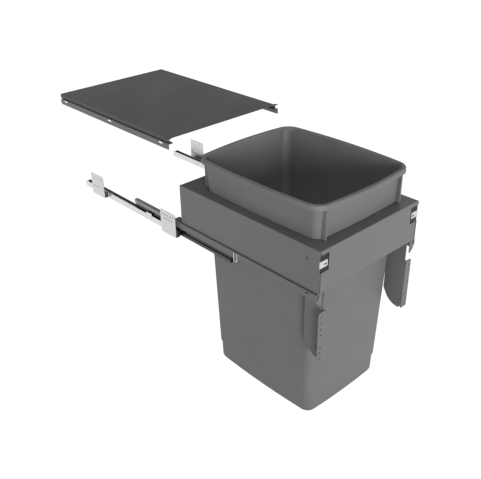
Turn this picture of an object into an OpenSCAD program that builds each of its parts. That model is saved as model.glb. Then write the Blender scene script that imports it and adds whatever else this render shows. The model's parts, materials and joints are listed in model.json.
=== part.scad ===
// Pull-out bin frame for a base cabinet, shown fully pulled out.
// Origin: midway between the cabinet sides, at the front ends and the underside of the cabinet rails.
// X runs to the right, Y to the back of the cabinet, Z up. All sizes are in millimetres.
// The frame, the bucket and the drawer rails hang in front of the cabinet rails, at negative Y.
// Each right-hand piece is modelled once, and the left-hand piece is its mirror image.

/* [Cabinet] */
// Outside width of the cabinet
cabinet_w = 400; // [380:10:600]
// Thickness of each cabinet side
cabinet_side_t = 16; // [15:1:19]

/* [Runner] */
// How far the frame pulls out
travel = 470; // [440:5:480]
// How far the closed frame's front stands before the cabinet rails
closed_front = 8; // [6:1:14]
// Length of each cabinet rail
cabinet_rail_len = 436; // [430:2:460]
// Length of each middle rail
middle_rail_len = 387; // [370:1:400]
// How far each drawer rail reaches behind the frame
drawer_rail_tail = 30; // [20:1:40]
// Height of the runner, from the cabinet rail's underside to the drawer rail's top
runner_h = 48.5; // [46:0.5:56]
// Sheet thickness of the rails
rail_t = 1.5; // [1.2:0.1:1.8]
// Width of the cabinet rail
cabinet_rail_w = 14; // [13:0.5:16]
// Height of the cabinet rail's walls
cabinet_rail_h = 18.5; // [17:0.5:20]
// Diameter of the balls
ball_d = 5; // [4.6:0.1:5.2]
// Balls in each row of a cage
balls_per_row = 7; // [5:1:8]
// Spacing of the balls along a row
ball_pitch = 22; // [18:1:24]
// Width of the middle rail's top flange
middle_top_w = 11; // [10:0.5:12]
// Height of the middle rail's top flange
middle_top_h = 10; // [8:0.5:11]
// Width of the middle rail's foot
middle_foot_w = 8.6; // [7:0.2:9]
// Height of the middle rail's foot
middle_foot_h = 9.8; // [8:0.2:11]
// Depth of the drawer rail's running walls
running_wall_h = 12.5; // [10:0.5:14]
// Distance from the runner's centre line to the outer face of the skirt
skirt_out = 12; // [11.5:0.5:14]
// Depth of the drawer rail's skirt
skirt_h = 16; // [14:1:18]
// Thickness of the rubber buffer at the back of the cabinet rail
buffer_len = 6; // [4:1:8]

/* [Cabinet plates] */
// Gap between the cabinet side and the cabinet rail
plate_offset = 14; // [12:1:18]
// Width of a cabinet plate
plate_w = 61; // [56:1:70]
// Height of a cabinet plate's upright
plate_h = 64; // [60:1:72]
// Height of a cabinet plate's foot above the rail's underside
plate_foot_z = 4.5; // [3:0.5:6]
// How far the front plate stands before the rail's front end
front_plate_lead = 12; // [4:1:16]
// Distance from the back plate to the rail's back end
rear_plate_inset = 59; // [30:1:80]
// Diameter of a screw hole in a cabinet plate
plate_hole_d = 4.5; // [3.5:0.1:5]
// Spacing of the screw holes along a row
plate_hole_pitch = 9.8; // [8.8:0.2:10.4]
// Distance between the two rows on the front plate
front_row_gap = 10.5; // [9.5:0.5:14]
// Distance between the two rows on the back plate
rear_row_gap = 26; // [16:1:30]

/* [Bin frame] */
// Length of the bin frame, front to back
frame_len = 457; // [430:1:470]
// Height of the bin frame above the drawer rail
frame_h = 103.5; // [90:0.5:120]
// Sheet thickness of the bin frame
frame_t = 1.5; // [1.2:0.1:2]
// Width of the top flange in front of the opening
flange_front = 29.3; // [26:0.1:36]
// Width of the top flange behind the opening
flange_rear = 56.7; // [46:0.1:70]
// Width of the top flange beside the opening
flange_side = 24.5; // [22:0.5:40]
// Gap between the front panel's lower edge and the drawer rail
front_panel_gap = 2.2; // [1.6:0.2:4]

/* [Bucket] */
// Distance from the frame's top to the top of the bucket's rim
rim_rise = 85.7; // [60:0.1:90]
// Depth of the bucket below the frame's top
bucket_drop = 498.4; // [420:0.1:520]
// Wall thickness of the bucket
bucket_t = 2.5; // [2:0.1:3]
// Gap between the bucket and the frame's opening
bucket_gap = 1.5; // [1.2:0.1:2.5]
// How much each long wall draws in over the bucket's depth
bucket_draft = 10; // [6:0.5:14]
// How much each end wall draws in over the bucket's depth
bucket_end_draft = 16.5; // [12:0.5:20]
// How far the rim stands out from the long walls at the frame's top
rim_out = 23; // [20:0.5:24]
// How far the rim stands out from the end walls at the frame's top
rim_out_end = 18.5; // [18:0.5:20]
// Height of the rim's skirt
rim_skirt = 12; // [10:0.5:16]
// Depth of the bucket's support ribs
rib_depth = 11.5; // [9:0.5:12]
// Thickness of the bucket's support ribs
rib_t = 4.5; // [2.5:0.5:5]

/* [Front brackets] */
// Width of a bracket's front flange
bracket_flange_w = 18; // [17:0.5:22]
// Height of a bracket's front flange
bracket_flange_h = 135; // [130:1:150]
// Depth of a bracket's side plate
bracket_depth = 57; // [50:1:60]
// Sheet thickness of the brackets
bracket_t = 2; // [1.5:0.1:2.5]
// Spacing of the door screw holes
door_hole_pitch = 16; // [16:0.1:16.4]
// Diameter of the door screw holes
door_hole_d = 5; // [4:0.1:5.6]

/* [Height adjusters] */
// Width of the corner opening for an adjuster
adjuster_w = 28; // [27:0.5:32]
// Height of the corner opening for an adjuster
adjuster_h = 42; // [38:1:46]
// Width of the adjuster's tab
tab_w = 24; // [20:0.5:24]
// Height of the adjuster's tab
tab_h = 16; // [14:0.5:20]
// How far the adjuster's tab slides
tab_travel = 3; // [2:0.5:3.5]

/* [Lid] */
// Length of the lid, front to back
lid_len = 502; // [460:2:520]
// Gap between the bucket's rim and the lid
lid_gap = 30; // [28:0.5:44]
// Height of the lid's down-turned edges
lid_edge_h = 11.5; // [9:0.5:14]
// Sheet thickness of the lid
lid_t = 1.2; // [1:0.1:1.5]
// Gap between the lid's edge and the cabinet side
lid_side_gap = 5.2; // [4.8:0.2:8]
// Height of the lid rail's web
lid_web_h = 14.5; // [13:0.5:20]
// Width of the lid rail's ledge
lid_ledge_w = 14; // [13:0.5:20]
// Length of a slot in the lid rail
lid_slot_len = 16; // [10:1:20]
// Height of a slot in the lid rail
lid_slot_h = 4; // [3.4:0.2:4.6]

/* [Hidden] */
$fn = 32;

// Colours, as the object is painted and plated
paint = [0.44, 0.44, 0.45];
plastic_grey = [0.40, 0.40, 0.41];
zinc = [0.80, 0.81, 0.82];
steel = [0.62, 0.63, 0.64];
dark_steel = [0.42, 0.43, 0.44];
black = [0.10, 0.10, 0.10];
white_plastic = [0.85, 0.85, 0.83];

// Overlap of a cutting shape past the face that it cuts
over = 1;
// Running gap between pieces that move past each other
run_gap = 0.3;
stop_gap = 8;
// Play of a ball in the outer race, and in the race of the middle rail
race_play = 0.1;
groove_play = 0.05;

// Places across the runner, measured from the middle of the cabinet
side_x = cabinet_w / 2 - cabinet_side_t;
runner_x = side_x - plate_offset - cabinet_rail_w / 2;
frame_x = side_x - plate_offset;
ball_r = ball_d / 2;
race_r = ball_r + race_play;
groove_r = ball_r + groove_play;

// Ball rows: the lower ones lie in the corners of the cabinet rail, the upper ones in the drawer rail
lower_row_u = cabinet_rail_w / 2 - rail_t - race_r;
lower_row_z = rail_t + race_r;
upper_row_u = middle_top_w / 2 - 0.2;
upper_row_z = runner_h - rail_t - race_r;

// Heights on the middle rail
middle_bottom_z = lower_row_z + 0.36 * ball_r;
middle_top_z = upper_row_z - 0.72 * ball_r;
web_half = rail_t + 0.1;

// Places along the runner
frame_front_y = -travel - closed_front;
frame_rear_y = frame_front_y + frame_len;
rear_plate_y = cabinet_rail_len - rear_plate_inset - plate_w;
drawer_front_y = frame_front_y + bracket_t;
drawer_rear_y = frame_rear_y + drawer_rail_tail;
middle_rear_y = cabinet_rail_len - buffer_len - stop_gap - travel / 2;
middle_front_y = middle_rear_y - middle_rail_len;
lower_cage_y = middle_rear_y / 2;
upper_cage_y = (middle_front_y + drawer_rear_y) / 2;
row_len = (balls_per_row - 1) * ball_pitch;
cage_end = 7;
cage_t = 0.8;
cage_len = row_len + ball_pitch / 2 + 2 * cage_end;
cage_hole_d = ball_d + 0.3;

// Heights of the frame, the bucket and the lid
frame_top_z = runner_h + frame_h;
rim_top_z = frame_top_z + rim_rise;
lid_top_z = rim_top_z + lid_gap + lid_t;
ledge_z = lid_top_z - lid_edge_h;
lid_front_y = -3;

// Rivets and screws
rivet_d = 4;
rivet_head_d = 7;
rivet_head_h = 1.2;
screw_d = 4;
screw_head_d = 8;

module along_y(y0, y1) {
    translate([0, y1, 0]) rotate([90, 0, 0]) linear_extrude(y1 - y0) children();
}

module along_x(x0, x1) {
    translate([x0, 0, 0]) rotate([90, 0, 90]) linear_extrude(x1 - x0) children();
}

module bore_x(x0, x1, y, z, d) {
    translate([x0, y, z]) rotate([0, 90, 0]) cylinder(d = d, h = x1 - x0);
}

module bore_y(x, y0, y1, z, d) {
    translate([x, y1, z]) rotate([90, 0, 0]) cylinder(d = d, h = y1 - y0);
}

module bar(lo, hi) {
    translate(lo) cube(hi - lo);
}

module left() {
    mirror([1, 0, 0]) children();
}

// A slot outline with round ends, long side along the first axis
module slot_2d(len, h) {
    square([len - h, h], center = true);
    for (end = [-1, 1]) translate([end * (len - h) / 2, 0]) circle(d = h);
}

// A rectangle from the origin with its own radius at each corner: [low-low, high-low, high-high, low-high]
module cornered(w, h, r) {
    difference() {
        square([w, h]);
        if (r[0] > 0) notch_corner(r[0]);
        if (r[1] > 0) translate([w, 0]) mirror([1, 0]) notch_corner(r[1]);
        if (r[2] > 0) translate([w, h]) rotate(180) notch_corner(r[2]);
        if (r[3] > 0) translate([0, h]) mirror([0, 1]) notch_corner(r[3]);
    }
}

module notch_corner(r) {
    difference() {
        translate([-over, -over]) square(r + over);
        translate([r, r]) circle(r = r, $fn = 64);
    }
}

// Outline of a channel with two rounded floor corners, floor at zero, centred on u = 0
module trough(w, h, r) {
    translate([-w / 2, r]) square([w, h - r]);
    translate([-w / 2 + r, 0]) square([w - 2 * r, r + 0.01]);
    for (s = [-1, 1]) translate([s * (w / 2 - r), r]) circle(r = r);
}

// Telescopic runner

lug_y = 110;
lug_len = 24;
lug_rise = 5.5;
lug_slit = 1;
inner_hole_y = 320.5;
inner_hole_z = 8;
inner_hole_d = 4;
plate_rivet_inset = 12;
plate_rivet_rise = 6.5;

module cabinet_rail() {
    half = cabinet_rail_w / 2;
    color(zinc) translate([runner_x, 0, 0]) difference() {
        union() {
            along_y(0, cabinet_rail_len) difference() {
                trough(cabinet_rail_w, cabinet_rail_h, race_r + rail_t);
                translate([0, rail_t]) trough(cabinet_rail_w - 2 * rail_t, cabinet_rail_h, race_r);
            }
            along_x(half - rail_t, half) translate([lug_y, cabinet_rail_h - over])
                cornered(lug_len, lug_rise + over, [0, 0, 2, 2]);
        }
        bar([half - rail_t - over, lug_y - lug_slit, cabinet_rail_h - 7],
            [half + over, lug_y, cabinet_rail_h + over]);
        bore_x(-half - over, -half + rail_t + over, inner_hole_y, inner_hole_z, inner_hole_d);
        for (y = plate_rivet_places()) bore_x(half - rail_t - over, half + over, y, plate_rivet_z(), rivet_d);
    }
}

// Two rivets in each plate, the same distance from the ends of the stretch that touches the rail
function plate_rivet_places() = [
    for (span = [[0, plate_w - front_plate_lead], [rear_plate_y, rear_plate_y + plate_w]])
        for (y = [span[0] + plate_rivet_inset, span[1] - plate_rivet_inset]) y
];

function plate_rivet_z() = plate_foot_z + plate_rivet_rise;

module middle_rail() {
    color(dark_steel) translate([runner_x, 0, 0])
        along_y(middle_front_y, middle_rear_y) difference() {
            union() {
                translate([-middle_top_w / 2, middle_top_z - middle_top_h]) square([middle_top_w, middle_top_h]);
                translate([-web_half, middle_bottom_z + over])
                    square([2 * web_half, middle_top_z - middle_bottom_z - 2 * over]);
                translate([-middle_foot_w / 2, middle_bottom_z]) square([middle_foot_w, middle_foot_h]);
            }
            for (s = [-1, 1]) {
                translate([s * upper_row_u, upper_row_z]) circle(r = groove_r);
                translate([s * lower_row_u, lower_row_z]) circle(r = groove_r);
            }
            translate([-middle_top_w / 2 + rail_t, middle_top_z - middle_top_h + rail_t])
                square([middle_top_w - 2 * rail_t, middle_top_h - 2 * rail_t - 0.8]);
            translate([-middle_foot_w / 2 + rail_t, lower_row_z + groove_r + rail_t])
                square([middle_foot_w - 2 * rail_t,
                    middle_bottom_z + middle_foot_h - lower_row_z - groove_r - 2 * rail_t]);
        }
}

// Ball places along a row; the two rows of a cage are half a pitch apart
function ball_places(mid_y, s) = [
    for (i = [0 : balls_per_row - 1]) mid_y - row_len / 2 + i * ball_pitch + s * ball_pitch / 4
];

module cage(mid_y, row_u, row_z, half_w) {
    color(white_plastic) translate([runner_x, 0, 0]) difference() {
        bar([-half_w, mid_y - cage_len / 2, row_z - cage_t / 2], [half_w, mid_y + cage_len / 2, row_z + cage_t / 2]);
        for (s = [-1, 1]) for (y = ball_places(mid_y, s))
            translate([s * row_u, y, row_z - over]) cylinder(d = cage_hole_d, h = 2 * over);
    }
}

module balls(mid_y, row_u, row_z) {
    color(steel) translate([runner_x, 0, 0]) for (s = [-1, 1]) for (y = ball_places(mid_y, s))
        translate([s * row_u, y, row_z]) sphere(d = ball_d);
}

module lower_cage() {
    cage(lower_cage_y, lower_row_u, lower_row_z, cabinet_rail_w / 2 - rail_t - run_gap);
}

module lower_balls() {
    balls(lower_cage_y, lower_row_u, lower_row_z);
}

module upper_cage() {
    cage(upper_cage_y, upper_row_u, upper_row_z, upper_row_u + race_r - run_gap);
}

module upper_balls() {
    balls(upper_cage_y, upper_row_u, upper_row_z);
}

module rail_buffer() {
    inner_w = cabinet_rail_w - 2 * rail_t;
    color(black) translate([runner_x, 0, 0])
        along_y(cabinet_rail_len - buffer_len, cabinet_rail_len) translate([0, rail_t])
            trough(inner_w, cabinet_rail_h - rail_t - 2, race_r);
}

// Drawer rail, which carries the frame and shows as a painted strip under it

access_slot_y = frame_front_y + 29.6;
access_slot_z = runner_h - 5;
access_slot_len = 8;
access_slot_h = 3;
rail_screw_head_d = 6;
rail_screw_head_t = 1.6;
lock_plate_in = 6;
lock_plate_out = 9.3;
lock_plate_neck = 3.5;
lock_plate_drop = 33.5;
lock_plate_shoulder = 9;
lock_plate_widest = 18.5;
lock_plate_tip = 3;

module drawer_rail() {
    running_out = upper_row_u + race_r + rail_t;
    color(paint) translate([runner_x, 0, 0]) difference() {
        union() {
            along_y(drawer_front_y, drawer_rear_y) difference() {
                union() {
                    translate([-running_out, runner_h - running_wall_h]) square([2 * running_out, running_wall_h]);
                    translate([0, runner_h - rail_t]) square([skirt_out, rail_t]);
                    translate([skirt_out - rail_t, runner_h - skirt_h]) square([rail_t, skirt_h]);
                }
                translate([0, runner_h - rail_t]) mirror([0, 1])
                    trough(2 * (upper_row_u + race_r), running_wall_h + over, race_r);
                translate([skirt_out, runner_h]) rotate(180) notch_corner(rail_t);
            }
            along_y(drawer_front_y, drawer_front_y + bracket_t) translate([0, runner_h]) polygon([
                [-lock_plate_in, 0],
                [-lock_plate_in, lock_plate_tip - lock_plate_drop],
                [lock_plate_tip - lock_plate_in, -lock_plate_drop],
                [lock_plate_out, -lock_plate_widest - lock_plate_tip],
                [lock_plate_out, -lock_plate_widest],
                [lock_plate_neck, -lock_plate_shoulder],
                [lock_plate_neck, 0]
            ]);
        }
        translate([skirt_out - rail_t - over, access_slot_y, access_slot_z]) rotate([90, 0, 90])
            linear_extrude(rail_t + 2 * over) slot_2d(access_slot_len, access_slot_h);
        bore_x(-running_out - over, 0, access_slot_y, access_slot_z, screw_d);
        bore_x(-upper_row_u - race_r, 0, access_slot_y, access_slot_z, rail_screw_head_d + 2 * run_gap);
        for (y = frame_rivet_places())
            translate([0, y, runner_h - rail_t - over]) cylinder(d = rivet_d, h = rail_t + 2 * over);
    }
}

clip_w = 12.5;
clip_h = 22.5;
clip_wire = 1.8;
clip_t = 1;
clip_inset = 252;
clip_y = frame_front_y + clip_inset;

// Bent spring clip that hooks over the skirt and keeps the drawer rail on the middle rail
module stop_clip() {
    x0 = runner_x + skirt_out;
    color(zinc) translate([0, clip_y, 0]) difference() {
        along_x(x0, x0 + clip_t) translate([-clip_w / 2, runner_h - rail_t - clip_h])
            cornered(clip_w, clip_h, [3, 3, 0.6, 0.6]);
        along_x(x0 - over, x0 + clip_t + over) translate([-clip_w / 2 + clip_wire, runner_h - rail_t - clip_h + clip_wire])
            cornered(clip_w - 2 * clip_wire, clip_h, [1.5, 1.5, 0, 0]);
    }
}

// Cabinet plates, which carry the cabinet rail from the cabinet side

module cabinet_plate(y0, row_gap, front) {
    rail_face = frame_x;
    tab_top = cabinet_rail_h - 2;
    hole_y = plate_w / 2;
    row_z = plate_foot_z + plate_h - 11;
    foot_y0 = y0 + (front ? front_plate_lead : 0);
    color(zinc) difference() {
        union() {
            along_x(side_x - rail_t, side_x) translate([y0, plate_foot_z])
                cornered(plate_w, plate_h, [3, 3, 3, 8]);
            bar([rail_face, y0 + 1, plate_foot_z], [side_x - over, y0 + plate_w - 3, plate_foot_z + rail_t]);
            along_x(rail_face, rail_face + rail_t) translate([foot_y0, plate_foot_z])
                cornered(y0 + plate_w - 3 - foot_y0, tab_top - plate_foot_z, [0, 0, 3, 3]);
        }
        for (i = [0 : 4]) plate_hole(y0 + hole_y + (i - 2) * plate_hole_pitch, row_z);
        for (i = [0 : 3]) plate_hole(y0 + hole_y + (i - 1.5) * plate_hole_pitch, row_z - row_gap);
        for (y = plate_rivet_places()) bore_x(rail_face - over, rail_face + rail_t + over, y, plate_rivet_z(), rivet_d);
    }
}

module plate_hole(y, z) {
    bore_x(side_x - rail_t - over, side_x + over, y, z, plate_hole_d);
}

module front_plate() {
    cabinet_plate(-front_plate_lead, front_row_gap, true);
}

module rear_plate() {
    cabinet_plate(rear_plate_y, rear_row_gap, false);
}

module plate_rivets_side() {
    color(steel) for (y = plate_rivet_places()) {
        bore_x(frame_x - rail_t, frame_x + rail_t, y, plate_rivet_z(), rivet_d);
        bore_x(frame_x + rail_t, frame_x + rail_t + rivet_head_h, y, plate_rivet_z(), rivet_head_d);
    }
}

// Bin frame: one folded sheet with a bowed opening for the bucket

corner_slit = 1.2;
frame_flange_w = 15;
bend_r = 2.2;

// Solid block with its long top edges rounded, drawn in by inset on every side but the bottom
module frame_block(inset, bottom) {
    w = 2 * (frame_x - inset);
    r = bend_r - min(inset, bend_r - 0.4);
    y0 = frame_front_y + inset;
    y1 = frame_rear_y - inset;
    top = frame_top_z - inset;
    intersection() {
        along_y(y0, y1) translate([-w / 2, bottom]) cornered(w, top - bottom, [0, 0, r, r]);
        along_x(-w / 2, w / 2) translate([y0, bottom]) cornered(y1 - y0, top - bottom, [0, 0, r, r]);
    }
}

module bin_frame() {
    cut_x = frame_x - adjuster_w;
    cut_top = frame_top_z - 10;
    color(paint) difference() {
        union() {
            difference() {
                frame_block(0, runner_h);
                frame_block(frame_t, runner_h - over);
            }
            for (s = [-1, 1]) bar(
                [s < 0 ? -frame_x + frame_t / 2 : frame_x - frame_flange_w, frame_front_y + bracket_t + 3, runner_h],
                [s < 0 ? -frame_x + frame_flange_w : frame_x - frame_t / 2, frame_rear_y - frame_t / 2,
                    runner_h + frame_t]
            );
        }
        translate([0, 0, frame_top_z - 5]) linear_extrude(10) polygon(bowed_ring(
            opening_w / 2, opening_d / 2, wall_bow_x, wall_bow_y, opening_r, opening_y));
        bar([-frame_x - over, frame_front_y - over, runner_h - over],
            [frame_x + over, frame_front_y + frame_t + 0.01, runner_h + front_panel_gap]);
        for (s = [-1, 1]) {
            x0 = s < 0 ? -frame_x - over : cut_x;
            bar([x0, frame_front_y - over, cut_top - adjuster_h],
                [x0 + adjuster_w + over, frame_front_y + frame_t + 0.1, cut_top]);
            slit = s * (frame_x - frame_t - corner_slit / 2);
            bar([slit - corner_slit / 2, frame_front_y - over, runner_h],
                [slit + corner_slit / 2, frame_front_y + frame_t + 0.1, frame_top_z - bend_r]);
            bore_x(s * frame_x - 3, s * frame_x + 3, adjuster_screw_y, adjuster_screw_z, screw_d);
            for (y = frame_rivet_places())
                translate([s * runner_x, y, runner_h - over]) cylinder(d = rivet_d, h = frame_t + 2 * over);
        }
    }
}

function frame_rivet_places() = [for (i = [0 : 3]) frame_front_y + 60 + i * (frame_len - 120) / 3];

module frame_rivets_side() {
    color(paint) for (y = frame_rivet_places()) translate([runner_x, y, 0]) {
        translate([0, 0, runner_h - rail_t - 0.6]) cylinder(d = rivet_d, h = rail_t + frame_t + 0.6);
        translate([0, 0, runner_h + frame_t]) cylinder(d = rivet_head_d, h = rivet_head_h);
    }
}

// Height adjuster in each front corner of the frame: a black housing with a sliding slotted tab

adjuster_screw_y = frame_front_y + 35.9;
adjuster_screw_z = frame_top_z - 29;
tab_z = frame_top_z - 24 - tab_h;
tab_t = frame_t;
tab_tongue_x = frame_x - 12;
tab_tongue_w = 8;
tab_tongue_h = 5;
tab_tongue_len = 8;
tab_slot_x = frame_x - 17.4;
tab_slot_z = tab_z + 6.4;
gusset_out = frame_x - 22;
housing_face_y = frame_front_y + frame_t + run_gap;
housing_face_t = 2;
housing_back_y = frame_front_y + 44;

module adjuster_housing() {
    out = frame_x - frame_t - run_gap;
    face_x = frame_x - adjuster_w - 1;
    top = frame_top_z - 7;
    bottom = frame_top_z - 10 - adjuster_h - 3;
    pocket_z = tab_z + tab_h / 2;
    color(black) difference() {
        union() {
            bar([face_x, housing_face_y, bottom], [out, housing_face_y + housing_face_t, top]);
            bar([gusset_out, housing_face_y, bottom], [out, housing_back_y, top]);
            bar([face_x + 3, housing_face_y - 1, bottom + 3.5], [out - 1, housing_face_y, tab_z - run_gap - 0.5]);
        }
        bar([tab_tongue_x - tab_travel - 2, housing_face_y - over, pocket_z - tab_tongue_h / 2 - run_gap],
            [tab_tongue_x + tab_tongue_w + run_gap, housing_face_y + tab_tongue_len + 4,
                pocket_z + tab_tongue_h / 2 + run_gap]);
        bore_x(gusset_out - over, out + over, adjuster_screw_y, adjuster_screw_z, screw_d);
        for (z = [bottom + 5, top - 12]) bar([gusset_out + 3, housing_face_y + 14, z],
            [out - 3, housing_back_y + over, z + 8]);
    }
}

module adjuster_tab() {
    y0 = frame_front_y;
    color(zinc) difference() {
        union() {
            along_y(y0, y0 + tab_t) translate([frame_x - tab_w, tab_z]) cornered(tab_w, tab_h, [2, 0.8, 0.8, 2]);
            bar([tab_tongue_x, y0 + tab_t / 2, tab_z + tab_h / 2 - tab_tongue_h / 2],
                [tab_tongue_x + tab_tongue_w, housing_face_y + tab_tongue_len, tab_z + tab_h / 2 + tab_tongue_h / 2]);
        }
        along_y(y0 - over, y0 + tab_t + 0.6) translate([tab_slot_x, tab_slot_z]) slot_2d(8, 3.4);
    }
}

// Front brackets, which carry the cabinet door

bracket_top_z = -1;
gusset_top_z = frame_top_z - 14;
door_hole_inset = 13;
door_hole_z = bracket_top_z - door_hole_inset;
door_hole_x = gusset_out + bracket_flange_w / 2;
gusset_slant_z = 39;
gusset_slant = 29;
gusset_r = 17;
gusset_drop = 2;
gusset_relief = 8;
gusset_relief_h = 4.5;
gusset_front_gap = housing_face_y + housing_face_t + run_gap - frame_front_y;
boss_d = 9;
dimple_d = 6;
dimple_inset = 20;

// Door screw holes: eight places on one pitch, the fifth left out
function door_holes() = [for (i = [0 : 7]) if (i != 4) door_hole_z - i * door_hole_pitch];

// Outline of the side plate below the runner, from the front flange back: y across, z up
module gusset_2d(y0, bottom) {
    rear = y0 + bracket_depth;
    low = bottom - gusset_drop;
    corner = [rear - gusset_slant_z * tan(gusset_slant), low];
    difference() {
        polygon([[y0, low], corner, [rear, low + gusset_slant_z], [rear, bracket_top_z + over],
            [y0, bracket_top_z + over]]);
        translate([y0 - over, low - over]) square([gusset_relief + over, gusset_drop + over]);
        translate([y0 + bracket_t + 1, low - over]) square([gusset_relief - bracket_t - 1, over + gusset_relief_h]);
        translate(corner) rotate(90 - gusset_slant / 2 + 90) gusset_corner();
    }
}

// What the rounding of the gusset's lowest corner takes off, pointing along +X from the corner
module gusset_corner() {
    half = (90 + gusset_slant) / 2;
    reach = gusset_r / tan(half);
    difference() {
        polygon([[-over, 0], [reach * cos(half), reach * sin(half)], [reach * cos(half), -reach * sin(half)]]);
        translate([gusset_r / sin(half), 0]) circle(r = gusset_r, $fn = 96);
    }
}

module front_bracket() {
    y0 = frame_front_y;
    bottom = bracket_top_z - bracket_flange_h;
    upper_y = y0 + gusset_front_gap;
    color(paint) difference() {
        union() {
            along_y(y0, y0 + bracket_t) translate([gusset_out - bracket_t, bottom])
                cornered(bracket_flange_w + bracket_t, bracket_flange_h, [0, 2, 5, 0]);
            along_x(gusset_out - bracket_t, gusset_out) {
                gusset_2d(y0, bottom);
                translate([upper_y, bracket_top_z]) cornered(
                    bracket_depth - gusset_front_gap, gusset_top_z - bracket_top_z, [0, 0, 6, 1]);
            }
            bore_x(gusset_out - over, runner_x - upper_row_u - race_r - rail_t, access_slot_y, access_slot_z, boss_d);
            for (z = [bracket_top_z - 22, bracket_top_z - 111])
                bore_x(gusset_out - over, gusset_out + 1, y0 + dimple_inset, z, dimple_d);
        }
        for (z = door_holes()) bore_y(door_hole_x, y0 - over, y0 + bracket_t + over, z, door_hole_d);
        bore_x(gusset_out - bracket_t - over, runner_x, access_slot_y, access_slot_z, screw_d);
        bore_x(gusset_out - bracket_t - over, gusset_out + over, adjuster_screw_y, adjuster_screw_z, screw_d);
    }
}

// Two screws on each side: one through the frame and the housing, one through the drawer rail
module bracket_screws_side() {
    rail_in = runner_x - upper_row_u - race_r;
    color(paint) {
        bore_x(gusset_out - bracket_t, frame_x, adjuster_screw_y, adjuster_screw_z, screw_d);
        bore_x(frame_x, frame_x + 0.8, adjuster_screw_y, adjuster_screw_z, screw_head_d);
    }
    color(steel) {
        bore_x(gusset_out - bracket_t, rail_in, access_slot_y, access_slot_z, screw_d);
        bore_x(rail_in, rail_in + rail_screw_head_t, access_slot_y, access_slot_z, rail_screw_head_d);
    }
}

// Bucket: one moulded shell, lofted through bowed rings

rings_per_arc = 6;
points_per_side = 8;
corner_r_base = 21;
corner_r_mid = 20;
corner_r_rim = 30;
wall_bow_x = 5;
wall_bow_y = 4;
rim_bow = 12.5;
rim_shift = -2.5;
opening_w = 2 * (frame_x - flange_side);
opening_d = frame_len - flange_front - flange_rear;
opening_y = frame_front_y + flange_front + opening_d / 2;
opening_r = corner_r_mid + bucket_gap;
body_hw = opening_w / 2 - bucket_gap;
body_hd = opening_d / 2 - bucket_gap;
base_step = 2.2;
base_step_z = frame_top_z - 0.885 * bucket_drop;
base_z = frame_top_z - bucket_drop;
base_r = 8;
flare = 0.05;
rib_x = 127;
rim_flat = 12;

// Points of a rounded rectangle: half sizes a and b, corner radius r, each side in equal steps
function rounded_ring(a, b, r) = [
    for (q = [0 : 3])
        let (sx = (q == 0 || q == 3) ? 1 : -1, sy = q < 2 ? 1 : -1, turn = q * 90)
        for (p = [
            for (i = [0 : rings_per_arc])
                let (t = turn + 90 * i / rings_per_arc)
                [sx * (a - r) + r * cos(t), sy * (b - r) + r * sin(t)],
            for (i = [1 : points_per_side])
                let (f = i / (points_per_side + 1), s = q % 2 == 0 ? 1 - 2 * f : 2 * f - 1)
                q == 0 ? [s * (a - r), b]
                : q == 1 ? [-a, -s * (b - r)]
                : q == 2 ? [-(1 - 2 * f) * (a - r), -b]
                : [a, (2 * f - 1) * (b - r)]
        ]) p
];

// The same ring with its sides bowed: each side draws in by its bow towards the corners
function bowed_ring(a, b, bow_x, bow_y, r, mid_y) = [
    for (p = rounded_ring(a, b, r))
        [p[0] * (1 - bow_x / a * pow(p[1] / b, 2)), mid_y + p[1] * (1 - bow_y / b * pow(p[0] / a, 2))]
];

ring_n = 4 * (rings_per_arc + 1 + points_per_side);

// One ring of the bucket at height z; the half sizes are given at the middle of each side
function bucket_ring(z, a, b, bow_x, bow_y, r, mid_y = opening_y) =
    [for (p = bowed_ring(a, b, bow_x, bow_y, r, mid_y)) [p[0], p[1], z]];

// How far a wall is drawn in: steadily below the frame's top, and outwards above it
function draw_in(z, draft) = z > frame_top_z
    ? -(z - frame_top_z) * flare
    : draft * (frame_top_z - z) / bucket_drop;

function wall_ring(z, inset) =
    let (f = max(0, min(1, (z - base_z) / bucket_drop)))
    bucket_ring(z, body_hw - draw_in(z, bucket_draft) - inset,
        body_hd - draw_in(z, bucket_end_draft) - inset, wall_bow_x, wall_bow_y,
        corner_r_base + (corner_r_mid - corner_r_base) * f - 0.3 * inset);

function rim_ring(z, inset) =
    let (bow = rim_bow * (1 - inset / rim_out / 2))
    bucket_ring(z, body_hw + rim_out - inset, body_hd + rim_out_end - inset, bow, bow,
        corner_r_rim - inset / 2, opening_y + rim_shift);

function outer_rings() = [
    wall_ring(base_z, base_step + base_r),
    wall_ring(base_z + 0.6, base_step + base_r * 0.62),
    wall_ring(base_z + 2.4, base_step + base_r * 0.28),
    wall_ring(base_z + base_r, base_step),
    wall_ring(base_step_z - 6, base_step),
    wall_ring(base_step_z, 0),
    wall_ring((base_step_z + frame_top_z) / 2, 0),
    wall_ring(frame_top_z, 0),
    wall_ring(rim_top_z - rim_skirt - 8, 0),
    wall_ring(rim_top_z - bucket_t - 2, -2)
];

function rim_rings() = [
    rim_ring(rim_top_z - bucket_t - 1, bucket_t + 2),
    rim_ring(rim_top_z - rim_skirt, bucket_t),
    rim_ring(rim_top_z - rim_skirt, 0),
    rim_ring(rim_top_z - 2.5, 0.6),
    rim_ring(rim_top_z - 0.8, 1.8),
    rim_ring(rim_top_z, 4.5),
    rim_ring(rim_top_z - 0.6, rim_flat - 2),
    rim_ring(rim_top_z - 3, rim_flat)
];

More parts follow.
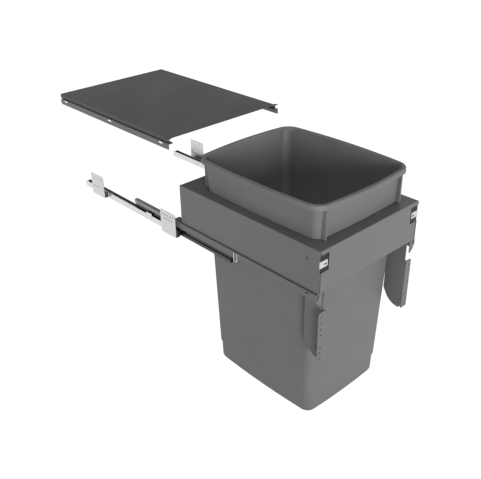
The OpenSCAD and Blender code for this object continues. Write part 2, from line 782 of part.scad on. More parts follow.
function inner_rings() = [
    wall_ring(rim_top_z - rim_skirt, bucket_t - 2),
    wall_ring(frame_top_z, bucket_t),
    wall_ring((base_step_z + frame_top_z) / 2, bucket_t),
    wall_ring(base_step_z + 1, bucket_t),
    wall_ring(base_step_z - 6, bucket_t + base_step),
    wall_ring(base_z + base_r + 1, bucket_t + base_step),
    wall_ring(base_z + bucket_t + 1.5, bucket_t + base_step + base_r * 0.3),
    wall_ring(base_z + bucket_t, bucket_t + base_step + base_r)
];

module bucket_shell() {
    rings = concat(outer_rings(), rim_rings(), inner_rings());
    last = len(rings) - 1;
    points = [for (r = rings) each r];
    caps = [[for (i = [0 : ring_n - 1]) i], [for (i = [ring_n - 1 : -1 : 0]) last * ring_n + i]];
    walls = [
        for (k = [0 : last - 1]) for (i = [0 : ring_n - 1])
            let (j = (i + 1) % ring_n, a = k * ring_n, b = a + ring_n)
            each [[a + i, b + i, b + j], [a + i, b + j, a + j]]
    ];
    polyhedron(points, concat(caps, walls));
}

module bucket() {
    front_wall = opening_y - body_hd;
    rear_wall = opening_y + body_hd;
    rib_top = rim_top_z - 6;
    rib_foot = frame_top_z + run_gap;
    color(plastic_grey) union() {
        bucket_shell();
        for (s = [-1, 1]) {
            bar([s * rib_x - rib_t / 2, front_wall - rib_depth + wall_bow_y, rib_foot],
                [s * rib_x + rib_t / 2, front_wall + 3.5, rib_top]);
            bar([s * rib_x - rib_t / 2, rear_wall - 3.5, rib_foot],
                [s * rib_x + rib_t / 2, rear_wall + rib_depth - wall_bow_y, rib_top]);
        }
    }
}

// Lid, which stays in the cabinet over the closed bucket

lid_x = side_x - lid_side_gap;
lid_return = 9;
lid_rear_y = lid_front_y + lid_len;
lid_rail_front_y = lid_front_y - 5;
lid_rail_rear_y = lid_rear_y - 8;
ear_out = side_x + 1;
ear_len = 4.5;
lid_slot_z = ledge_z - 4;
lid_slot_pitch = lid_len / 2 - 31;
lid_rivet_x = lid_x - lid_t - rivet_head_d / 2 - run_gap;
lid_mark_d = 2;
lid_mark_places = [23, 241];
lid_rail_mark = 248;

module lid_panel() {
    w = 2 * lid_x;
    color(paint) difference() {
        union() {
            difference() {
                along_y(lid_front_y, lid_rear_y) translate([-w / 2, ledge_z]) cornered(w, lid_edge_h, [1, 1, 1.6, 1.6]);
                along_y(lid_front_y - over, lid_rear_y - lid_t) translate([-w / 2 + lid_t, ledge_z + lid_t])
                    cornered(w - 2 * lid_t, lid_edge_h - 2 * lid_t, [0, 0, 0.4, 0.4]);
                along_y(lid_front_y - over, lid_rear_y + over)
                    translate([-w / 2 + lid_return, ledge_z - over]) square([w - 2 * lid_return, lid_t + over + 0.01]);
            }
            for (s = [-1, 1]) bar(
                [s < 0 ? -ear_out : lid_x - 4, lid_front_y - 4, lid_top_z - lid_t],
                [s < 0 ? -lid_x + 4 : ear_out, lid_front_y + ear_len, lid_top_z]
            );
        }
        for (s = [-1, 1]) for (y = lid_rivet_places()) {
            translate([s * lid_rivet_x, y, ledge_z - over]) cylinder(d = rivet_d, h = lid_t + 2 * over);
        }
        for (s = [-1, 1]) for (y = lid_mark_places)
            bore_x(s * lid_x - 3, s * lid_x + 3, lid_front_y + y, ledge_z + 3.5, lid_mark_d);
    }
}

function lid_rivet_places() = [for (i = [0 : 3]) lid_front_y + 30 + i * (lid_len - 60) / 3];
function lid_slot_places() = [for (i = [-1 : 1]) lid_front_y + lid_len / 2 - 3 + i * lid_slot_pitch];

module lid_rail() {
    web_len = lid_rail_rear_y - lid_rail_front_y;
    color(paint) difference() {
        union() {
            bar([side_x - lid_ledge_w, lid_rail_front_y, ledge_z - lid_t], [side_x, lid_rail_rear_y, ledge_z]);
            along_x(side_x - lid_t, side_x) translate([lid_rail_front_y, ledge_z - lid_web_h])
                cornered(web_len, lid_web_h, [3, 7, 0, 0]);
        }
        for (y = lid_slot_places()) translate([side_x - lid_t - over, y, lid_slot_z]) rotate([90, 0, 90])
            linear_extrude(lid_t + 2 * over) slot_2d(lid_slot_len, lid_slot_h);
        bore_x(side_x - lid_t - over, side_x + over, lid_front_y + lid_rail_mark, ledge_z - lid_web_h + 3,
            lid_mark_d);
        for (y = lid_rivet_places())
            translate([lid_rivet_x, y, ledge_z - lid_t - over]) cylinder(d = rivet_d, h = lid_t + 2 * over);
    }
}

module lid_rivets_side() {
    color(steel) for (y = lid_rivet_places()) translate([lid_rivet_x, y, 0]) {
        translate([0, 0, ledge_z - lid_t - 0.8]) cylinder(d = rivet_head_d, h = 0.8);
        translate([0, 0, ledge_z - lid_t]) cylinder(d = rivet_d, h = 2 * lid_t);
        translate([0, 0, ledge_z + lid_t]) cylinder(d = rivet_head_d, h = 0.8);
    }
}

lid_panel();
left() lid_rail();  // lid_rail_left
lid_rail();  // lid_rail_right
union() { lid_rivets_side(); left() lid_rivets_side(); }  // lid_rivets
left() cabinet_rail();  // cabinet_rail_left
cabinet_rail();  // cabinet_rail_right
left() front_plate();  // front_plate_left
front_plate();  // front_plate_right
left() rear_plate();  // rear_plate_left
rear_plate();  // rear_plate_right
union() { plate_rivets_side(); left() plate_rivets_side(); }  // plate_rivets
left() rail_buffer();  // rail_buffer_left
rail_buffer();  // rail_buffer_right
left() middle_rail();  // middle_rail_left
middle_rail();  // middle_rail_right
left() lower_cage();  // lower_cage_left
lower_cage();  // lower_cage_right
left() lower_balls();  // lower_balls_left
lower_balls();  // lower_balls_right
left() upper_cage();  // upper_cage_left
upper_cage();  // upper_cage_right
left() upper_balls();  // upper_balls_left
upper_balls();  // upper_balls_right
left() drawer_rail();  // drawer_rail_left
drawer_rail();  // drawer_rail_right
left() stop_clip();  // stop_clip_left
stop_clip();  // stop_clip_right
bin_frame();
union() { frame_rivets_side(); left() frame_rivets_side(); }  // frame_rivets
left() adjuster_housing();  // adjuster_housing_left
adjuster_housing();  // adjuster_housing_right
left() adjuster_tab();  // adjuster_tab_left
adjuster_tab();  // adjuster_tab_right
left() front_bracket();  // front_bracket_left
front_bracket();  // front_bracket_right
union() { bracket_screws_side(); left() bracket_screws_side(); }  // bracket_screws
bucket();
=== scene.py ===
# %% [markdown]
# # A pull-out bin frame, dressed for its photograph
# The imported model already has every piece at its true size. Blender adds what a drawing lacks:
# soft edges, paint, zinc, plastic and rubber that look like themselves, and the light of a photo
# studio. Each cell below does one step and prints what it made.

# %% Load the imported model
import json
import math

import bpy
from mathutils import Matrix, Vector


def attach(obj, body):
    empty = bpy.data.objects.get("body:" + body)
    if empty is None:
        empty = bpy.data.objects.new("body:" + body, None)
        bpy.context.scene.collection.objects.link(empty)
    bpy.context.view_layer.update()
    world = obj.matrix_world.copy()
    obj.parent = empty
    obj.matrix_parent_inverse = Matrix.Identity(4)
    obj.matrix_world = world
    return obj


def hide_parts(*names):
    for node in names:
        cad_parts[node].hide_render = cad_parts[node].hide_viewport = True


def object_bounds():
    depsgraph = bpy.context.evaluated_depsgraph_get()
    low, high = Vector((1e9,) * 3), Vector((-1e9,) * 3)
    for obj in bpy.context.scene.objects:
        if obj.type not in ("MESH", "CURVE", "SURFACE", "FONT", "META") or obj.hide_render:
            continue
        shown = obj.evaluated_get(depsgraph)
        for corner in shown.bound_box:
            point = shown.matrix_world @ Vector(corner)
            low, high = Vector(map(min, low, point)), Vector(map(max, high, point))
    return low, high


MM = 0.001
SIDES = ("left", "right")

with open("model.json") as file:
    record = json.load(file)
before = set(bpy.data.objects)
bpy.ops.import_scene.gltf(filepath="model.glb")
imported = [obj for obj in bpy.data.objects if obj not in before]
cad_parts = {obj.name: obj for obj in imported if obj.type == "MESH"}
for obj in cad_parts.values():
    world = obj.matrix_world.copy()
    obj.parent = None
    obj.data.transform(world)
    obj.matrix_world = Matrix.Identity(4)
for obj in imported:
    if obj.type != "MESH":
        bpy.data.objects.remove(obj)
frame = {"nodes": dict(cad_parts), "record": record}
bpy.ops.object.select_all(action="DESELECT")
cad_low, cad_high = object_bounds()
print("loaded", len(frame["nodes"]), "nodes, from", tuple(cad_low), "to", tuple(cad_high))

# %% [markdown]
# ## The camera
# A photograph fixes where its camera stood. The straight edges of the frame and the lid gave this
# place, turn and lens, so the render lies on the photograph line for line. A camera could be
# turned with Track To, but that leaves out its roll, so its three axes are written into its
# matrix. The view transform is Standard, so that a grey comes out as it is set.

# %% Set the camera
CAMERA_PLACE = Vector((-1.0938, -1.2575, 0.8542))
CAMERA_AZIMUTH = math.radians(-42.212)
CAMERA_ELEVATION = math.radians(29.17)
CAMERA_ROLL = math.radians(1.083)
LENS = 51.69
FARTHEST_SEEN = 50

back = Vector((
    math.sin(CAMERA_AZIMUTH) * math.cos(CAMERA_ELEVATION),
    -math.cos(CAMERA_AZIMUTH) * math.cos(CAMERA_ELEVATION),
    math.sin(CAMERA_ELEVATION),
))
level_right = (-back).cross(Vector((0, 0, 1))).normalized()
level_down = (-back).cross(level_right)
right = math.cos(CAMERA_ROLL) * level_right + math.sin(CAMERA_ROLL) * level_down
down = math.cos(CAMERA_ROLL) * level_down - math.sin(CAMERA_ROLL) * level_right
turn = Matrix((right, -down, back)).transposed().to_4x4()

bpy.ops.object.camera_add()
camera = bpy.context.object
camera.matrix_world = Matrix.Translation(CAMERA_PLACE) @ turn
camera.data.lens = LENS
camera.data.clip_end = FARTHEST_SEEN
bpy.context.scene.camera = camera
bpy.context.scene.view_settings.view_transform = "Standard"
print("camera at", tuple(round(v, 3) for v in camera.location), "lens", LENS)

# %% [markdown]
# ## Nodes
# A material is a small chain of nodes. These helpers add a node and feed its inputs, either with
# a plain value or with what another node gives, so that each finish below reads as a short
# recipe.

# %% Define the node helpers
def feed(tree, node, inputs):
    """Sets inputs by name or number, to a value or to a link from another node's output."""
    for key, value in inputs.items():
        if isinstance(value, bpy.types.NodeSocket):
            tree.links.new(value, node.inputs[key])
        else:
            node.inputs[key].default_value = value


def add_node(tree, kind, inputs=None, **settings):
    """Adds a node, sets its properties, and then feeds its inputs."""
    node = tree.nodes.new(kind)
    for key, value in settings.items():
        setattr(node, key, value)
    feed(tree, node, inputs or {})
    return node


def new_finish(name):
    """A material, its node tree and its Principled shader."""
    finish = bpy.data.materials.new(name)
    finish.use_nodes = True
    tree = finish.node_tree
    shader = next(n for n in tree.nodes if n.type == "BSDF_PRINCIPLED")
    return finish, tree, shader


def mix_to_surface(tree, share, first, second):
    """Mixes two shaders by a share from 0 to 1, and gives the result to the tree's output."""
    mix = add_node(tree, "ShaderNodeMixShader", {0: share, 1: first, 2: second})
    output = next(n for n in tree.nodes if n.type.startswith("OUTPUT"))
    feed(tree, output, {"Surface": mix.outputs[0]})


print("node helpers ready")

# %% [markdown]
# ## Patterns and colours
# Every pattern reads Object coordinates, which are metres here, so a scale of 1000 gives about
# one wave in a millimetre. A pattern is a value from 0 to 1. It becomes a range of roughness, a
# mix of two colours, or a relief of a real depth.

# %% Define the patterns
# A Mix node has a set of sockets for each kind of data. These are the ones for colours.
MIX_SHARE, MIX_FIRST, MIX_SECOND, MIX_RESULT = 0, 6, 7, 2
# Painted shade, where a point's surroundings close in
# The open share of a point's surroundings, below which it is darkest and above which it is bare
CLOSED, OPEN = 0.25, 0.85
PAINTED_SHADE_SAMPLES = 8


def object_space(tree, stretch=(1, 1, 1)):
    """Object coordinates, stretched along an axis where a finish has a direction."""
    place = add_node(tree, "ShaderNodeTexCoord").outputs["Object"]
    mapping = add_node(tree, "ShaderNodeMapping", {"Vector": place, "Scale": stretch})
    return mapping.outputs["Vector"]


def noise(tree, space, scale, detail=2.0, roughness=0.5):
    """A noise pattern on the given coordinates."""
    node = add_node(tree, "ShaderNodeTexNoise", {
        "Vector": space, "Scale": scale, "Detail": detail, "Roughness": roughness})
    return node.outputs["Fac"]


def spread(tree, value, low, high, start=0.3, end=0.7):
    """Maps a pattern's middle stretch to the range from low to high."""
    node = add_node(tree, "ShaderNodeMapRange", {
        "Value": value, "From Min": start, "From Max": end, "To Min": low, "To Max": high})
    return node.outputs["Result"]


def grey(level, warm=0.0):
    """A neutral colour, a little warmer or cooler."""
    return (level * (1 + warm), level, level * (1 - warm), 1)


def mix_colours(tree, share, first, second, blend="MIX"):
    """Mixes two colours by a share or a pattern."""
    node = add_node(
        tree, "ShaderNodeMix", {MIX_SHARE: share, MIX_FIRST: first, MIX_SECOND: second},
        data_type="RGBA", blend_type=blend)
    return node.outputs[MIX_RESULT]


def two_shades(tree, pattern, level, shades, tints=(0.0, 0.0)):
    """A grey that a pattern varies between two shares of its level, each with its own tint."""
    dark, light = (grey(level * share, warm) for share, warm in zip(shades, tints))
    return mix_colours(tree, pattern, dark, light)


def uneven(tree, pattern, value, shifts, start=0.3, end=0.7):
    """A value that a pattern's middle stretch shifts between two amounts."""
    return spread(tree, pattern, value + shifts[0], value + shifts[1], start, end)


def painted_recess_shade(tree, colour, depth, darkest):
    """Paints shade into a colour in seams and recesses up to a depth, where light is lost."""
    surroundings = add_node(
        tree, "ShaderNodeAmbientOcclusion", {"Distance": depth}, samples=PAINTED_SHADE_SAMPLES)
    level = spread(tree, surroundings.outputs["AO"], darkest, 1, CLOSED, OPEN)
    return mix_colours(tree, 1.0, colour, level, "MULTIPLY")


def relief(tree, height, depth, strength, under=None):
    """The surface direction under a pattern of a real depth, over a coarser relief if given."""
    inputs = {"Height": height, "Distance": depth, "Strength": strength}
    if under:
        inputs["Normal"] = under
    return add_node(tree, "ShaderNodeBump", inputs).outputs["Normal"]


print("patterns ready")

# %% [markdown]
# ## Powder coat
# The frame, the brackets, the lid and the drawer rails are sheet steel under a fine satin powder
# coat. Powder melts into tiny low hills, called orange peel, so a plain glossy grey would look
# like plastic. Two layers of noise give the peel, and a third makes the gloss a little uneven, as
# where hands have rubbed the sheet. Seams and recesses get painted shade, darker where little
# light comes back out.

# %% Make the powder coat
PAINT_LEVEL = 0.165
# The lid's share of the frame's paint level, a painted shade on the lid
LID_SHADE_SHARE = 0.66
# How much the large clouds vary the shade, its tint and the roughness
PAINT_SHADES = (0.97, 1.03)
PAINT_TINTS = (-0.008, -0.004)
PAINT_WEAR = (-0.04, 0.05)
# Waves in a metre
PAINT_CLOUD = 9
ORANGE_PEEL = 900
PAINT_SPECK = 2600
# Depth and strength of each relief
PEEL_RELIEF = (0.06 * MM, 0.35)
SPECK_RELIEF = (0.02 * MM, 0.3)
# Depth and darkest level of the painted shade in wide recesses and in narrow seams
PAINT_RECESS_SHADE = (80 * MM, 0.85)
PAINT_SEAM_SHADE = (6 * MM, 0.2)


def powder_coat(name, level, rough, shine):
    """Satin paint of a grey level. rough and shine are the Principled roughness and specular."""
    finish, tree, shader = new_finish(name)
    space = object_space(tree)
    cloud = noise(tree, space, PAINT_CLOUD, detail=3)
    peel = noise(tree, space, ORANGE_PEEL)
    speck = noise(tree, space, PAINT_SPECK, detail=1)
    colour = two_shades(tree, spread(tree, cloud, 0, 1), level, PAINT_SHADES, PAINT_TINTS)
    low_hills = relief(tree, peel, *PEEL_RELIEF)
    feed(tree, shader, {
        # Painted shade darkens the colour in wide recesses and in narrow seams
        "Base Color": painted_recess_shade(tree, painted_recess_shade(tree, colour, *PAINT_RECESS_SHADE), *PAINT_SEAM_SHADE),
        "Roughness": uneven(tree, cloud, rough, PAINT_WEAR),
        "Specular IOR Level": shine,
        "Normal": relief(tree, speck, *SPECK_RELIEF, under=low_hills),
    })
    return finish


frame_paint = powder_coat("satin_powder_coat", PAINT_LEVEL, rough=0.46, shine=0.25)
# The lid wears the frame's paint darkened, as painted shade
lid_paint_shaded = powder_coat("lid_powder_coat_shaded", PAINT_LEVEL * LID_SHADE_SHARE, rough=0.55, shine=0.15)
print("powder coat at", PAINT_LEVEL)

# %% [markdown]
# ## Galvanised sheet
# The cabinet rails, clips, plates and tabs are bare zinc. Rolled zinc has long fine lines along
# the strip and large pale crystals, the spangle, that differ a little in gloss. Stretched noise
# gives the lines, and a Voronoi pattern gives each crystal its own roughness. The middle rails
# are a darker steel, and their lower half is painted darker still, a painted shade up to a line
# that reads the height.

# %% Make the zinc
# How much the crystals differ in shade, tint and roughness
ZINC_SHADES = (0.97, 1.02)
ZINC_TINTS = (-0.01, 0.0)
ZINC_GLOSS = (-0.02, 0.03)
# Crystals and rolled lines in a metre, and the scale along the lines, which draws them out
SPANGLE = 120
ROLLING_LINES = 1500
LINE_STRETCH = 0.03
# Depth and strength of the lines, and depth and darkest level of the painted shade in recesses
LINE_RELIEF = (0.004 * MM, 0.2)
ZINC_RECESS_SHADE = (20 * MM, 0.6)
# The height of the painted shade's edge, how soft it is, and how dark it makes the steel
SHADE_LINE = 29.5 * MM
SHADE_BLUR = 2 * MM
SHADE_SHARE = 0.3


def zinc_sheet(name, level, rough, along, shaded_below=None):
    """Rolled sheet, with its lines along an axis and painted shade below a height if one is given.
    """
    finish, tree, shader = new_finish(name)
    stretch = tuple(LINE_STRETCH if axis == along else 1.0 for axis in "xyz")
    lines = noise(tree, object_space(tree, stretch), ROLLING_LINES)
    crystals = add_node(
        tree, "ShaderNodeTexVoronoi", {"Vector": object_space(tree), "Scale": SPANGLE})
    spangle = add_node(tree, "ShaderNodeSeparateColor", {"Color": crystals.outputs["Color"]})
    colour = two_shades(tree, spangle.outputs["Red"], level, ZINC_SHADES, ZINC_TINTS)
    # Painted shade: the steel is darker below a height
    if shaded_below:
        place = add_node(tree, "ShaderNodeSeparateXYZ", {"Vector": object_space(tree)})
        above = spread(
            tree, place.outputs["Z"], 0, 1, shaded_below - SHADE_BLUR, shaded_below + SHADE_BLUR)
        colour = two_shades(tree, above, level, (SHADE_SHARE, 1))
    feed(tree, shader, {
        # Painted shade darkens the zinc in recesses
        "Base Color": painted_recess_shade(tree, colour, *ZINC_RECESS_SHADE),
        "Roughness": uneven(tree, spangle.outputs["Green"], rough, ZINC_GLOSS, 0, 1),
        "Metallic": 1.0,
        "Normal": relief(tree, lines, *LINE_RELIEF),
    })
    return finish


rail_zinc = zinc_sheet("rolled_zinc", level=0.68, rough=0.36, along="y")
plate_zinc = zinc_sheet("pressed_zinc", level=0.63, rough=0.40, along="z")
middle_steel = zinc_sheet(
    "dark_rolled_steel", level=0.25, rough=0.38, along="y", shaded_below=SHADE_LINE)
print("zinc ready")

# %% [markdown]
# ## Plated and polished steel
# Rivets and screws are plated steel with a dull shine. The balls are hardened, polished steel,
# the smoothest surface here. One recipe serves for all: a metal whose gloss differs a little from
# place to place.

# %% Make the plated and polished steel
PLATING_CLOUD = 400
PLATED_SHADES = (0.92, 1)
PLATED_GLOSS = (0, 0.1)
# Depth and darkest level of the painted shade in recesses
PLATED_RECESS_SHADE = (20 * MM, 0.2)


def plated_steel(name, level, rough):
    """Bare or plated steel with a slightly uneven gloss."""
    finish, tree, shader = new_finish(name)
    cloud = noise(tree, object_space(tree), PLATING_CLOUD)
    colour = two_shades(tree, spread(tree, cloud, 0, 1), level, PLATED_SHADES)
    feed(tree, shader, {
        "Base Color": painted_recess_shade(tree, colour, *PLATED_RECESS_SHADE),
        "Roughness": uneven(tree, cloud, rough, PLATED_GLOSS),
        "Metallic": 1.0,
    })
    return finish


rivet_steel = plated_steel("plated_steel", level=0.6, rough=0.3)
ball_steel = plated_steel("bearing_steel", level=0.78, rough=0.08)
# The screws' dark colour is painted shade, standing in for the shadow round their seats
screw_dark_for_shade = plated_steel("black_screw_steel_painted_shade", level=0.12, rough=0.35)
print("steel ready")

# %% [markdown]
# ## Plastics and rubber
# The bucket, the cages, the buffers and the adjuster housings are moulded. Their surface copies
# the very fine grain of a spark-eroded mould, so it scatters light more than polished plastic
# does.

# %% Make the plastics and the rubber
MOULD_CLOUD = 14
MOULD_GRAIN = 1600
MOULD_SHADES = (0.96, 1.04)
MOULD_GLOSS = (-0.05, 0.07)
# Depth and darkest level of the painted shade in recesses and near other parts
MOULD_RECESS_SHADE = (100 * MM, 0.85)
GRAIN_STRENGTH = 0.5


def moulded(name, level, rough, grain, warm=0.0, shine=0.5):
    """A moulded material with a fine grain of a depth."""
    finish, tree, shader = new_finish(name)
    space = object_space(tree)
    cloud = noise(tree, space, MOULD_CLOUD, detail=3)
    pits = noise(tree, space, MOULD_GRAIN, detail=3, roughness=0.6)
    colour = two_shades(tree, spread(tree, cloud, 0, 1), level, MOULD_SHADES, (warm, warm))
    feed(tree, shader, {
        # Painted shade darkens the colour in recesses and near other parts
        "Base Color": painted_recess_shade(tree, colour, *MOULD_RECESS_SHADE),
        "Roughness": uneven(tree, pits, rough, MOULD_GLOSS),
        "Specular IOR Level": shine,
        "Normal": relief(tree, pits, grain, GRAIN_STRENGTH),
    })
    return finish


cage_plastic = moulded(
    "natural_cage_plastic", level=0.6, rough=0.42, grain=0.02 * MM, warm=0.02)
black_plastic = moulded(
    "black_housing_plastic", level=0.012, rough=0.45, grain=0.03 * MM, shine=0.3)
buffer_rubber = moulded("buffer_rubber", level=0.02, rough=0.7, grain=0.05 * MM)
bucket_plastic = moulded(
    "bucket_plastic", level=0.158, rough=0.5, grain=0.05 * MM, warm=-0.004, shine=0.35)
print("plastics ready")

# %% [markdown]
# ## A copy of each node
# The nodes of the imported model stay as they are, for the physics. Each one is copied, and the
# copy's loose triangles are welded and merged into flat faces, so that only its true edges are
# left.

# %% Define the copies
WELD_WITHIN = 0.002 * MM
FLAT_WITHIN = math.radians(0.3)


def only(piece):
    """Makes one object the selected and active one."""
    bpy.ops.object.select_all(action="DESELECT")
    piece.select_set(True)
    bpy.context.view_layer.objects.active = piece


def merged_copy(node, name):
    """A copy of a node, at the origin and free of its parent, with its triangles merged."""
    only(frame["nodes"][node])
    bpy.ops.object.duplicate()
    piece = bpy.context.object
    piece.name = name
    piece.data.name = name
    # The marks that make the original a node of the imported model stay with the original.
    for key in list(piece.keys()):
        del piece[key]
    piece.parent = None
    only(piece)
    bpy.ops.object.mode_set(mode="EDIT")
    bpy.ops.mesh.select_all(action="SELECT")
    bpy.ops.mesh.remove_doubles(threshold=WELD_WITHIN)
    bpy.ops.mesh.dissolve_limited(angle_limit=FLAT_WITHIN)
    bpy.ops.object.mode_set(mode="OBJECT")
    return piece


print("copies ready")

# %% [markdown]
# ## Soft edges
# A pressed sheet or a moulded wall never has a knife edge: each one is rounded by a few tenths of
# a millimetre, and that thin strip catches the light. A Bevel rounds every edge that is sharper
# than an angle. Weighted normals then keep the flat faces flat, so that only the strips look
# round.

# %% Define the soft edges
BEVEL_STEPS = 2
WEIGHT_OF_LARGE_FACES = 100


def round_edges(piece, width, sharper_than=38):
    """Bevels every edge that is sharper than an angle, and shades the rest smooth."""
    only(piece)
    bevel = piece.modifiers.new("soft_edges", "BEVEL")
    bevel.width = width
    bevel.segments = BEVEL_STEPS
    bevel.limit_method = "ANGLE"
    bevel.angle_limit = math.radians(sharper_than)
    bpy.ops.object.modifier_apply(modifier=bevel.name)
    bpy.ops.object.shade_smooth_by_angle(angle=math.radians(sharper_than))
    flats = piece.modifiers.new("flat_faces_stay_flat", "WEIGHTED_NORMAL")
    flats.keep_sharp = True
    flats.weight = WEIGHT_OF_LARGE_FACES
    bpy.ops.object.modifier_apply(modifier=flats.name)


print("soft edges ready")

# %% [markdown]
# ## Standing for a node
# A dressed copy takes its node's place in the picture. It rides on the body that carries the
# node, so it moves with the joints, and it takes the finish that it is given.

# %% Define how a piece stands for its node
dressed = []


def body_of_node(node):
    """The body that carries a node."""
    bodies = frame["record"]["behaviour"]["bodies"]
    return next(body for body, members in bodies.items() if node in members)


def stand_for(piece, node, finish):
    """Gives a piece its finish, and lets it replace and ride as its node does."""
    piece.data.materials.clear()
    piece.data.materials.append(finish)
    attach(piece, body_of_node(node))
    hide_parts(node)
    dressed.append(node)


def dress(node, finish, edge):
    """Replaces a node by a copy with a finish and with soft edges of a width."""
    piece = merged_copy(node, node + "_dressed")
    round_edges(piece, edge)
    stand_for(piece, node, finish)


print("dressing ready")

# %% [markdown]
# ## The lid
# The lid is one folded sheet, and its edges are a little rounder than the others'. Its top is
# darker in the photograph than the frame's top flanges, so it wears a darker and duller copy of
# the frame's coat, whose darker colour is painted shade.

# %% Dress the lid
LID_EDGE = 0.4 * MM

dress("lid_panel", lid_paint_shaded, LID_EDGE)
print("dressed the lid")

# %% [markdown]
# ## The frame
# The frame is folded from thin sheet, so its edges are rounded by no more than a quarter of a
# millimetre. The rounding would hide the two fine slits at the frame's front corners, whose dark
# line is plain to see in the photograph, so they are opened by a millimetre first.

# %% Dress the frame
SHEET_EDGE = 0.25 * MM
SLIT_INNER_X = 167.3 * MM
SLIT_REACHES_Y = -476 * MM
SLIT_EXTRA = 1 * MM
ON_THE_SLIT = 0.2 * MM


def widen_slits(piece):
    """Moves the inner wall of both corner slits towards the middle of the frame."""
    moved = 0
    for vertex in piece.data.vertices:
        place = vertex.co
        if place.y < SLIT_REACHES_Y and abs(abs(place.x) - SLIT_INNER_X) < ON_THE_SLIT:
            place.x -= math.copysign(SLIT_EXTRA, place.x)
            moved += 1
    return moved


frame_sheet = merged_copy("bin_frame", "bin_frame_dressed")
moved = widen_slits(frame_sheet)
round_edges(frame_sheet, SHEET_EDGE)
stand_for(frame_sheet, "bin_frame", frame_paint)
print("dressed the frame, whose slits are opened at", moved, "corners")

# %% [markdown]
# ## The other sheet-metal pieces
# The rails, the plates, the tabs and the clips need nothing but soft edges and a finish. Each
# piece has a twin on the other side of the frame.

# %% Dress the other sheet metal
for side in SIDES:
    for stem, finish in (
        ("lid_rail", frame_paint), ("drawer_rail", frame_paint),
        ("cabinet_rail", rail_zinc), ("middle_rail", middle_steel),
        ("front_plate", plate_zinc), ("rear_plate", plate_zinc),
        ("adjuster_tab", plate_zinc), ("stop_clip", rail_zinc),
    ):
        dress(f"{stem}_{side}", finish, SHEET_EDGE)
print("dressed", len(dressed), "pieces so far")

# %% [markdown]
# ## The front brackets
# The photograph shows the lowest corner of each side plate as one large arc. A corner is rounded
# by cutting it with planes that all touch the same circle, as a file would: each cut leaves a
# short flat, and eight of them over 61 degrees look like a curve.

# %% Round the brackets' lowest corners and dress them
# The corner's y and z, the directions that its two edges face in degrees, and the arc
GUSSET_CORNER = (-442.6 * MM, -138 * MM)
SLANT_FACES = -29
BOTTOM_FACES = -90
ARC_RADIUS = 45 * MM
ARC_STEPS = 9
# An angle between the arc's flats, which meet at 7 degrees, and the bracket's own bends
BRACKET_BENDS = 20


def round_corner(piece, corner, first, last, radius, steps):
    """Rounds a plate's outer corner, seen along X, by planes that touch one arc."""
    half = math.radians(last - first) / 2
    middle = math.radians(first + last) / 2
    inward = radius / math.cos(half)
    centre = Vector((
        0, corner[0] - inward * math.cos(middle), corner[1] - inward * math.sin(middle)))
    only(piece)
    bpy.ops.object.mode_set(mode="EDIT")
    for step in range(1, steps):
        facing = math.radians(first + (last - first) * step / steps)
        outward = Vector((0, math.cos(facing), math.sin(facing)))
        bpy.ops.mesh.select_all(action="SELECT")
        bpy.ops.mesh.bisect(
            plane_co=centre + radius * outward, plane_no=outward,
            use_fill=True, clear_outer=True)
    bpy.ops.object.mode_set(mode="OBJECT")


for side in SIDES:
    node = f"front_bracket_{side}"
    bracket = merged_copy(node, node + "_dressed")
    round_corner(
        bracket, GUSSET_CORNER, SLANT_FACES, BOTTOM_FACES, ARC_RADIUS, ARC_STEPS)
    round_edges(bracket, SHEET_EDGE, sharper_than=BRACKET_BENDS)
    stand_for(bracket, node, frame_paint)
print("rounded", len(SIDES), "brackets")

# %% [markdown]
# ## Small parts
# Rivets, screws, cages, buffers and the black housings are turned or moulded, so each gets a
# rounding that suits its size. The balls have no edges at all. They are only shaded smooth.

# %% Dress the fasteners, cages, buffers, housings and balls
FASTENER_EDGE = 0.3 * MM
CAGE_EDGE = 0.1 * MM
BUFFER_EDGE = 0.6 * MM
HOUSING_EDGE = 0.4 * MM

for node, finish in (
    ("lid_rivets", rivet_steel), ("plate_rivets", rivet_steel),
    ("frame_rivets", frame_paint), ("bracket_screws", screw_dark_for_shade),
):
    dress(node, finish, FASTENER_EDGE)
for side in SIDES:
    for stem, finish, edge in (
        ("lower_cage", cage_plastic, CAGE_EDGE), ("upper_cage", cage_plastic, CAGE_EDGE),
        ("rail_buffer", buffer_rubber, BUFFER_EDGE),
        ("adjuster_housing", black_plastic, HOUSING_EDGE),
    ):
        dress(f"{stem}_{side}", finish, edge)
    for stem in ("lower_balls", "upper_balls"):
        node = f"{stem}_{side}"
        balls = merged_copy(node, node + "_polished")
        bpy.ops.object.shade_smooth()
        stand_for(balls, node, ball_steel)
print("dressed", len(dressed), "pieces so far")

# %% [markdown]
# ## The bucket
# One thin moulded shell with a rolled rim. Its walls bow outwards a little, and its corners are
# wide arcs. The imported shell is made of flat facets, fine enough for smooth shading to hide them.
# Its triangles are paired into quads, so that the shading runs evenly, and its sharp edges get a
# narrow bevel, as the edges of a moulded part have.

# %% Smooth the bucket
BUCKET_EDGE = 0.7 * MM
BUCKET_SHARPER_THAN = 40
QUAD_BEND = math.radians(40)
QUAD_SKEW = math.radians(60)

bucket = merged_copy("bucket", "bucket_smooth")
bpy.ops.object.mode_set(mode="EDIT")
bpy.ops.mesh.select_all(action="SELECT")
bpy.ops.mesh.tris_convert_to_quads(face_threshold=QUAD_BEND, shape_threshold=QUAD_SKEW)
bpy.ops.object.mode_set(mode="OBJECT")
round_edges(bucket, BUCKET_EDGE, sharper_than=BUCKET_SHARPER_THAN)
stand_for(bucket, "bucket", bucket_plastic)
print("bucket has", len(bucket.data.polygons), "faces, the last of", len(dressed), "pieces")

# %% [markdown]
# ## The floor
# The photograph is a product picture on pure white. The floor is pale and lies just under the
# object. To the camera, and in reflections, it glows white, while the light that it throws back
# on the object is only that of a pale floor. A Light Path node tells the kinds of ray apart.

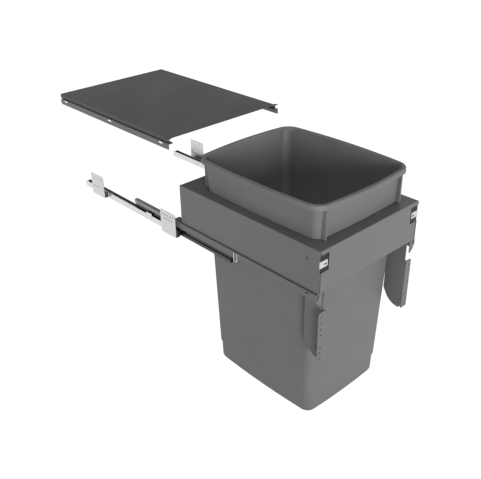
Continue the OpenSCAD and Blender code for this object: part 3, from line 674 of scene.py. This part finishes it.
# %% Add the floor
FLOOR_SIZE = 12
FLOOR_GAP = 0.5 * MM
FLOOR_COLOUR = (0.85, 0.85, 0.85, 1)
FLOOR_ROUGH = 0.9
# The share of the glow where it is seen, and its strength, a little over white
GLOW_SHARE = 0.93
GLOW_STRENGTH = 1.14


def any_ray(tree, *kinds):
    """1 for a ray of one of these kinds, and 0 for all others."""
    path = add_node(tree, "ShaderNodeLightPath")
    total = path.outputs[kinds[0]]
    for kind in kinds[1:]:
        larger = add_node(
            tree, "ShaderNodeMath", {0: total, 1: path.outputs[kind]}, operation="MAXIMUM")
        total = larger.outputs[0]
    return total


bpy.ops.mesh.primitive_plane_add(size=FLOOR_SIZE, location=(0, 0, cad_low.z - FLOOR_GAP))
floor = bpy.context.object
floor.name = "floor"
floor_finish, tree, shader = new_finish("pale_floor")
feed(tree, shader, {
    "Base Color": FLOOR_COLOUR, "Roughness": FLOOR_ROUGH, "Specular IOR Level": 0.0})
seen = any_ray(tree, "Is Camera Ray", "Is Glossy Ray", "Is Transmission Ray")
share = add_node(tree, "ShaderNodeMath", {0: seen, 1: GLOW_SHARE}, operation="MULTIPLY")
glow = add_node(tree, "ShaderNodeEmission", {"Strength": GLOW_STRENGTH})
mix_to_surface(tree, share.outputs[0], shader.outputs[0], glow.outputs[0])
floor.data.materials.append(floor_finish)
print("floor at", round(cad_low.z, 4))

# %% [markdown]
# ## The world
# The studio's walls are white and its ceiling is darker, which is why the faces that look up are
# darker in the photograph than the fronts and the sides. The world's own direction is mapped to a
# level: 1 near the horizon, falling to the ceiling's level overhead. The camera always sees plain
# white.

# %% Add the world
WORLD_LEVEL = 0.47
CEILING_LEVEL = 0.58
# How far up a direction points, from 0 to 1, where the walls end and where the ceiling is reached
WALLS_END = 0.2
CEILING_STARTS = 0.75
WHITE = (1, 1, 1, 1)

world = bpy.data.worlds.new("studio")
bpy.context.scene.world = world
world.use_nodes = True
tree = world.node_tree
direction = add_node(tree, "ShaderNodeTexCoord").outputs["Generated"]
upward = add_node(tree, "ShaderNodeSeparateXYZ", {"Vector": direction}).outputs["Z"]
level = add_node(tree, "ShaderNodeMapRange", {
    "Value": upward, "From Min": WALLS_END, "From Max": CEILING_STARTS,
    "To Min": 1.0, "To Max": CEILING_LEVEL}, interpolation_type="SMOOTHSTEP")
mirrored = any_ray(tree, "Is Glossy Ray", "Is Transmission Ray")
strength = spread(tree, mirrored, WORLD_LEVEL, 1, 0, 1)
lit = add_node(
    tree, "ShaderNodeMath", {0: level.outputs["Result"], 1: strength}, operation="MULTIPLY")
mild = next(n for n in tree.nodes if n.type == "BACKGROUND")
feed(tree, mild, {"Color": WHITE, "Strength": lit.outputs[0]})
white = add_node(tree, "ShaderNodeBackground", {"Color": WHITE, "Strength": 1.0})
mix_to_surface(tree, any_ray(tree, "Is Camera Ray"), mild.outputs[0], white.outputs[0])
print("world level", WORLD_LEVEL, "ceiling", CEILING_LEVEL)

# %% [markdown]
# ## The lamps
# One large soft lamp stands low in front and to the left, as the shading in the photograph shows:
# fronts are lightest, left sides a little darker, and tops darker still. So low a lamp doesn't
# reach far into the bucket, whose inside is evenly lit in the photograph. A weak fill lamp in the
# bucket helps.

# %% Add the lamps
SOFTBOX_STANDS = Vector((-0.46, -0.88, 0.08))
SOFTBOX_POWER = 3.05
SOFTBOX_WIDTH = math.radians(26)
FILL_PLACE = (0.0, -0.26, -0.2)
FILL_POWER = 0.85
FILL_SIZE = 80 * MM

bpy.ops.object.light_add(type="SUN")
softbox = bpy.context.object
softbox.name = "front_left_softbox"
softbox.rotation_euler = SOFTBOX_STANDS.to_track_quat("Z", "Y").to_euler()
softbox.data.energy = SOFTBOX_POWER
softbox.data.angle = SOFTBOX_WIDTH

bpy.ops.object.light_add(type="POINT", location=FILL_PLACE)
fill = bpy.context.object
fill.name = "fill_in_the_bucket"
fill.data.energy = FILL_POWER
fill.data.shadow_soft_size = FILL_SIZE
print("added", softbox.name, "and", fill.name)
